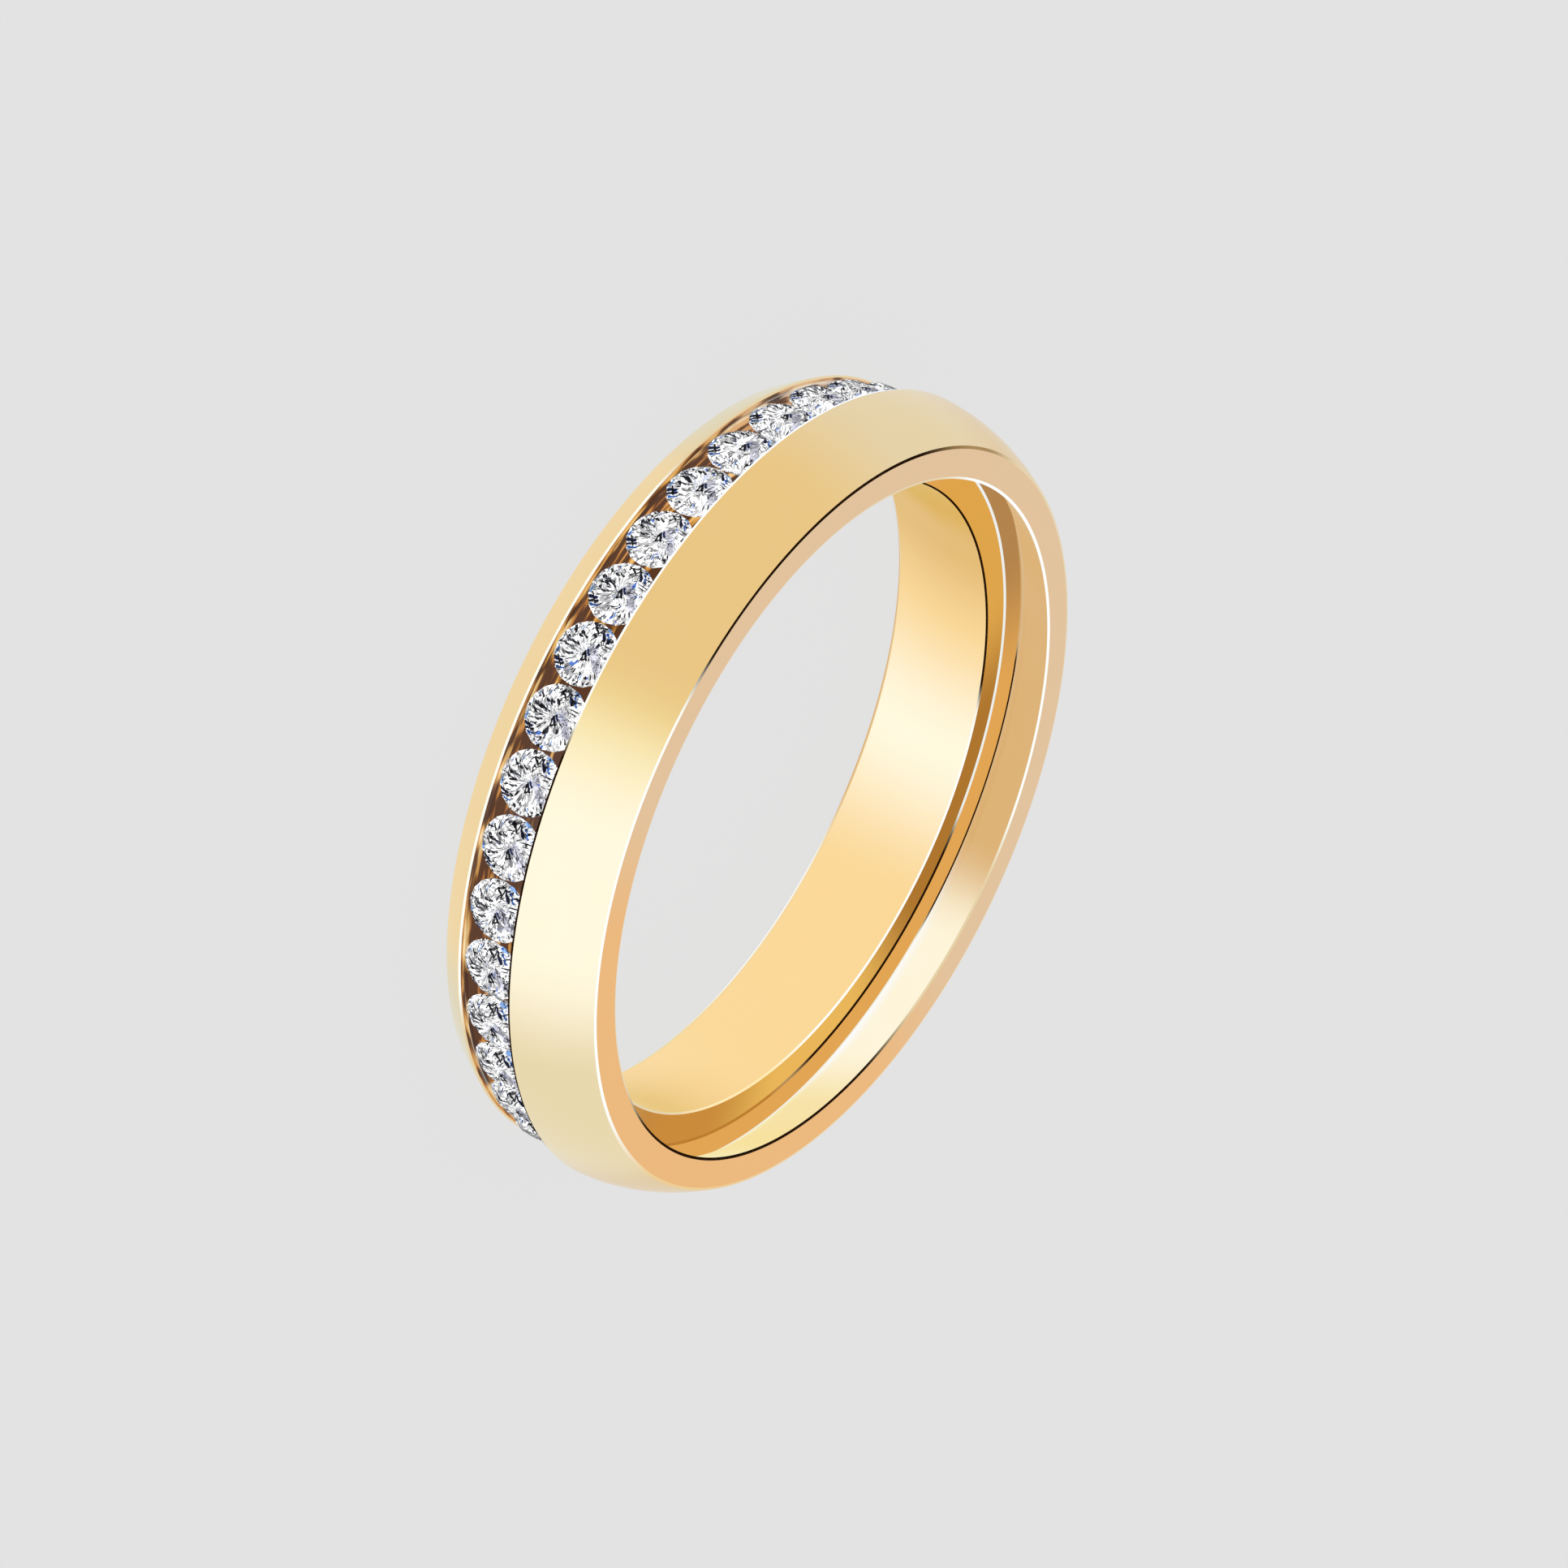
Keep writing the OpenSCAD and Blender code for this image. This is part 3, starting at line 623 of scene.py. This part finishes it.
# The studio is a tent of soft cards. Each hangs where one surface of the ring mirrors it to the camera.
# Its tilt is that of the surface's normal above the table, and its azimuth that of the normal round the
# ring, with 0 towards the camera, both in degrees. They are hung in this order, each over the last.
surfaces = [
    # near half of the dome
    {"tilt": (1.2, 35), "soft": 0.5, "cards": [
        {"name": "warmLeft", "azimuth": (-52, 200), "soft": 24, "colour": "#FFEDC8", "strength": 0.825},
        {"name": "greyRight", "azimuth": (36, 200), "soft": 8, "colour": "#FAFEFF", "strength": 0.85},
        {"name": "keyGlow", "azimuth": (-1, 30), "soft": 18, "colour": "#FDFFE1", "strength": 0.95},
        {"name": "keyUpper", "azimuth": (6, 46), "soft": 22, "colour": "#D8E4FF", "strength": 1.50},
        {"name": "endLeft", "azimuth": (-200, -84), "soft": 14, "colour": "#FFF6EA", "strength": 0.76},
        {"name": "endRight", "azimuth": (84, 200), "soft": 14, "colour": "#FFF6EA", "strength": 0.76}]},
    # far half of the dome
    {"tilt": (-35, -24.65), "soft": 0.3, "cards": [
        {"name": "farCool", "azimuth": (-200, 200), "soft": 1, "colour": "#F3FAFF", "strength": 0.84},
        {"name": "farWarm", "azimuth": (-42, 46), "soft": 14, "colour": "#FFF8EC", "strength": 0.871}]},
    # bore and its taper
    {"tilt": (-20.7, 1.1), "soft": 0.5, "cards": [
        {"name": "warmLow", "azimuth": (-200, 200), "soft": 1, "colour": "#FFF1D6", "strength": 0.965},
        {"name": "amberLeft", "azimuth": (-200, -66), "soft": 30, "colour": "#FFE6A7", "strength": 0.82},
        {"name": "amberRight", "azimuth": (49, 200), "soft": 24, "colour": "#FFE6B7", "strength": 0.78},
        {"name": "amberEnd", "azimuth": (68, 200), "soft": 12, "colour": "#FFDD8E", "strength": 0.738},
        {"name": "keyLow", "azimuth": (6, 31), "soft": 26, "colour": "#D8E4FF", "strength": 1.50}]},
    # far rim of the channel
    {"tilt": (39.1, 40.9), "soft": 0.4, "cards": [
        {"name": "rimWhite", "azimuth": (-36, 54), "soft": 10, "colour": "#C2D5FF", "strength": 1.85}]},
    # foot of the mouth
    {"tilt": (44.1, 45.9), "soft": 0.4, "cards": [
        {"name": "footWhite", "azimuth": (-80, -8), "soft": 12, "colour": "#CBDBFF", "strength": 1.5},
        {"name": "footBlack", "azimuth": (-8, 36), "soft": 6, "colour": "#1E0F05", "strength": 1.0},
        {"name": "footPlain", "azimuth": (36, 110), "soft": 6, "colour": "#FFE1BD", "strength": 0.65}]},
    # edge of the bore
    {"tilt": (50.4, 52.3), "soft": 0.4, "cards": [
        {"name": "boreEdgePale", "azimuth": (-72, 0), "soft": 20, "colour": "#FFFAF0", "strength": 1.08},
        {"name": "boreEdgeWhite", "azimuth": (-42, 30), "soft": 16, "colour": "#BCD0FF", "strength": 2.0},
        {"name": "boreEdgeBlack", "azimuth": (30, 100), "soft": 6, "colour": "#1E0F05", "strength": 1.0}]},
    # line where the two slopes of the shelf meet
    {"tilt": (61.1, 62.8), "soft": 0.4, "cards": [
        {"name": "valleyBlack", "azimuth": (-42, 8), "soft": 12, "colour": "#1E0F05", "strength": 1.0},
        {"name": "valleyWhite", "azimuth": (8, 100), "soft": 6, "colour": "#BCD0FF", "strength": 1.7},
        {"name": "valleyBrown", "azimuth": (-110, -42), "soft": 12, "colour": "#FFBC5E", "strength": 0.5}]},
    # inner edge of the near side face
    {"tilt": (67.2, 68.8), "soft": 0.4, "cards": [
        {"name": "lipEdgeBlack", "azimuth": (-110, -28), "soft": 14, "colour": "#1E0F05", "strength": 1.0},
        {"name": "lipEdgeWhite", "azimuth": (8, 100), "soft": 14, "colour": "#BCD0FF", "strength": 2.0}]},
    # outer edge of the near side face
    {"tilt": (70.2, 71.8), "soft": 0.4, "cards": [
        {"name": "edgeBlack", "azimuth": (-86, -8), "soft": 12, "colour": "#1E0F05", "strength": 1.0},
        {"name": "edgeWhite", "azimuth": (-8, 90), "soft": 12, "colour": "#BCD0FF", "strength": 2.0},
        {"name": "edgeEnd", "azimuth": (74, 200), "soft": 30, "colour": "#FFF0D7", "strength": 0.85},
        {"name": "edgeFaint", "azimuth": (-90, -74), "soft": 16, "colour": "#E8CDAA", "strength": 0.5}]},
    # the two slopes of the shelf
    {"tilt": (76, 87.2), "soft": 1, "cards": [
        {"name": "slopeDark", "azimuth": (-200, 200), "soft": 1, "colour": "#FFBC5E", "strength": 0.42},
        {"name": "slopeEnd", "azimuth": (80, 124), "soft": 20, "colour": "#FFC069", "strength": 0.59},
        {"name": "slopeLeft", "azimuth": (124, 164), "soft": 22, "colour": "#FFD781", "strength": 0.82},
        {"name": "slopeRight", "azimuth": (-143, -60), "soft": 24, "colour": "#FFCD75", "strength": 0.74},
        {"name": "shelfWarm", "azimuth": (-92, 90), "soft": 8, "colour": "#FFCC83", "strength": 0.76},
        {"name": "shelfBrown", "azimuth": (41, 90), "soft": 26, "colour": "#FFCF9A", "strength": 0.45}]},
    # near side face
    {"tilt": (87.2, 95), "soft": 1, "cards": [
        {"name": "facePink", "azimuth": (-200, 200), "soft": 1, "colour": "#FFF0F0", "strength": 0.76},
        {"name": "faceOrange", "azimuth": (20, 158), "soft": 25, "colour": "#FFDAB9", "strength": 0.84}]},
    # near rim of the channel
    {"tilt": (-22.3, -20.5), "soft": 0.3, "cards": [
        {"name": "channelWhite", "azimuth": (-100, 5), "soft": 6, "colour": "#BCD0FF", "strength": 2.0},
        {"name": "channelBlack", "azimuth": (5, 100), "soft": 6, "colour": "#1E0F05", "strength": 1.0}]},
    # wall of the mouth
    {"tilt": (-24.6, -22.4), "soft": 0.3, "cards": [
        {"name": "lipRight", "azimuth": (-200, 200), "soft": 1, "colour": "#FFE1BD", "strength": 0.722},
        {"name": "lipLeft", "azimuth": (-200, -6), "soft": 16, "colour": "#FFFEE4", "strength": 0.94},
        {"name": "lipBright", "azimuth": (-38, -2), "soft": 18, "colour": "#D8E4FF", "strength": 1.45},
        {"name": "lipLeftEnd", "azimuth": (-200, -54), "soft": 16, "colour": "#FFF7C6", "strength": 0.94},
        {"name": "lipRightEnd", "azimuth": (54, 200), "soft": 16, "colour": "#FFDBA8", "strength": 0.722}]},
    # rounded foot of that wall
    {"tilt": (-58, -35.4), "soft": 0.3, "cards": [
        {"name": "roundRight", "azimuth": (-200, 200), "soft": 1, "colour": "#FFDDB1", "strength": 0.716},
        {"name": "roundLeft", "azimuth": (-200, -6), "soft": 16, "colour": "#FFF9CC", "strength": 0.93},
        {"name": "roundBright", "azimuth": (-38, -2), "soft": 18, "colour": "#D8E4FF", "strength": 1.42}]},
]
studioSizes = {
    "tent": 0.79,             # white of the tent behind the cards
    "backdrop": "#E3E3E3",
    "glint": 0.05,            # what the outside of a stone mirrors
    "roomCells": 14.0,        # lights and gaps of the room that the stones look out into
    "roomStrength": 1.1,
    "roomStops": [(0.0, (0.02, 0.02, 0.03, 1)), (0.09, (0.10, 0.22, 0.7, 1)), (0.11, (0.28, 0.28, 0.29, 1)),
                  (0.24, (0.6, 0.6, 0.61, 1)), (0.42, (1, 1, 1, 1)), (0.73, (1.6, 1.6, 1.6, 1))],
    "insideDepth": 2.5,       # a ray that has met more surfaces than this has been inside a stone
}


def softEdges(tree, value, edges, soft):
    # 1 between the two edges, falling smoothly to 0 across each.
    rise = addNode(tree, "ShaderNodeMapRange", {"interpolation_type": "SMOOTHSTEP"}, {
        "Value": value, "From Min": edges[0] - soft / 2, "From Max": edges[0] + soft / 2,
        "To Min": 0.0, "To Max": 1.0})
    fall = addNode(tree, "ShaderNodeMapRange", {"interpolation_type": "SMOOTHSTEP"}, {
        "Value": value, "From Min": edges[1] - soft / 2, "From Max": edges[1] + soft / 2,
        "To Min": 1.0, "To Max": 0.0})
    return addNode(tree, "ShaderNodeMath", {"operation": "MULTIPLY"}, {
        0: rise.outputs["Result"], 1: fall.outputs["Result"]}).outputs["Value"]


def hangCards(tree, ray, colour):
    # The normal that would mirror this ray to the camera lies halfway between the two.
    half = addNode(tree, "ShaderNodeVectorMath", {"operation": "ADD"}, {0: ray, 1: tuple(toCamera)})
    half = addNode(tree, "ShaderNodeVectorMath", {"operation": "NORMALIZE"}, {0: half.outputs["Vector"]})
    parts = addNode(tree, "ShaderNodeSeparateXYZ", inputs={"Vector": half.outputs["Vector"]})
    front = addNode(tree, "ShaderNodeMath", {"operation": "MULTIPLY"}, {0: parts.outputs["Y"], 1: -1.0})
    azimuth = addNode(tree, "ShaderNodeMath", {"operation": "ARCTAN2"}, {
        0: parts.outputs["X"], 1: front.outputs["Value"]})
    azimuth = addNode(tree, "ShaderNodeMath", {"operation": "DEGREES"}, {0: azimuth.outputs["Value"]})
    tilt = addNode(tree, "ShaderNodeMath", {"operation": "ARCSINE"}, {0: parts.outputs["Z"]})
    tilt = addNode(tree, "ShaderNodeMath", {"operation": "DEGREES"}, {0: tilt.outputs["Value"]})
    for surface in surfaces:
        level = softEdges(tree, tilt.outputs["Value"], surface["tilt"], surface["soft"])
        for card in surface["cards"]:
            share = addNode(tree, "ShaderNodeMath", {"operation": "MULTIPLY"}, {
                0: softEdges(tree, azimuth.outputs["Value"], card["azimuth"], card["soft"]), 1: level})
            colour = addNode(tree, "ShaderNodeMix", {"data_type": "RGBA", "label": card["name"]}, {
                0: share.outputs["Value"], 6: colour,
                7: linearColour(card["colour"], card["strength"])}).outputs[2]
    return colour


world = bpy.data.worlds.new("studio")
scene.world = world
world.use_nodes = True
world.cycles.sampling_method = "NONE"
tree = world.node_tree
tree.nodes.clear()
ray = addNode(tree, "ShaderNodeTexCoord").outputs["Generated"]
seenAs = addNode(tree, "ShaderNodeLightPath")
tent = addNode(tree, "ShaderNodeBackground", inputs={
    "Color": hangCards(tree, ray, linearColour("#FFFFFF", studioSizes["tent"])), "Strength": 1.0})

# stones look out into a bright room with dark gaps between its lights
cells = addNode(tree, "ShaderNodeTexVoronoi", {"feature": "F1"}, {
    "Vector": ray, "Scale": studioSizes["roomCells"]})
cellShade = addNode(tree, "ShaderNodeSeparateColor", inputs={"Color": cells.outputs["Color"]})
roomRamp = addNode(tree, "ShaderNodeValToRGB", inputs={"Fac": cellShade.outputs[0]})
roomRamp.color_ramp.interpolation = "CONSTANT"
setStops(roomRamp.color_ramp, studioSizes["roomStops"])
room = addNode(tree, "ShaderNodeBackground", inputs={
    "Color": roomRamp.outputs["Color"], "Strength": studioSizes["roomStrength"]})
# and their polished faces mirror only its dark side, seen before a ray has been inside
glint = addNode(tree, "ShaderNodeBackground", inputs={
    "Color": (*[studioSizes["glint"]] * 3, 1), "Strength": 1.0})
beenInside = addNode(tree, "ShaderNodeMath", {"operation": "GREATER_THAN"}, {
    0: seenAs.outputs["Ray Depth"], 1: studioSizes["insideDepth"]})
beenInside = addNode(tree, "ShaderNodeMath", {"operation": "MULTIPLY"}, {
    0: seenAs.outputs["Is Singular Ray"], 1: beenInside.outputs[0]})
fromStone = addNode(tree, "ShaderNodeMath", {"operation": "MAXIMUM"}, {
    0: seenAs.outputs["Is Transmission Ray"], 1: beenInside.outputs[0]})
backdrop = addNode(tree, "ShaderNodeBackground", inputs={
    "Color": linearColour(studioSizes["backdrop"]), "Strength": 1.0})
even = addNode(tree, "ShaderNodeBackground", inputs={"Color": (1, 1, 1, 1), "Strength": 1.0})
shader = tent.outputs[0]
for share, other in ((seenAs.outputs["Is Singular Ray"], glint), (fromStone.outputs[0], room),
                     (seenAs.outputs["Is Diffuse Ray"], even), (seenAs.outputs["Is Camera Ray"], backdrop)):
    shader = addNode(tree, "ShaderNodeMixShader", inputs={
        0: share, 1: shader, 2: other.outputs[0]}).outputs[0]
addNode(tree, "ShaderNodeOutputWorld", inputs={"Surface": shader})
print("studio lit")

scene.view_settings.view_transform = "Standard"
# light crosses a stone many times before it leaves
scene.cycles.max_bounces = 24
scene.cycles.glossy_bounces = 16
scene.cycles.transmission_bounces = 16
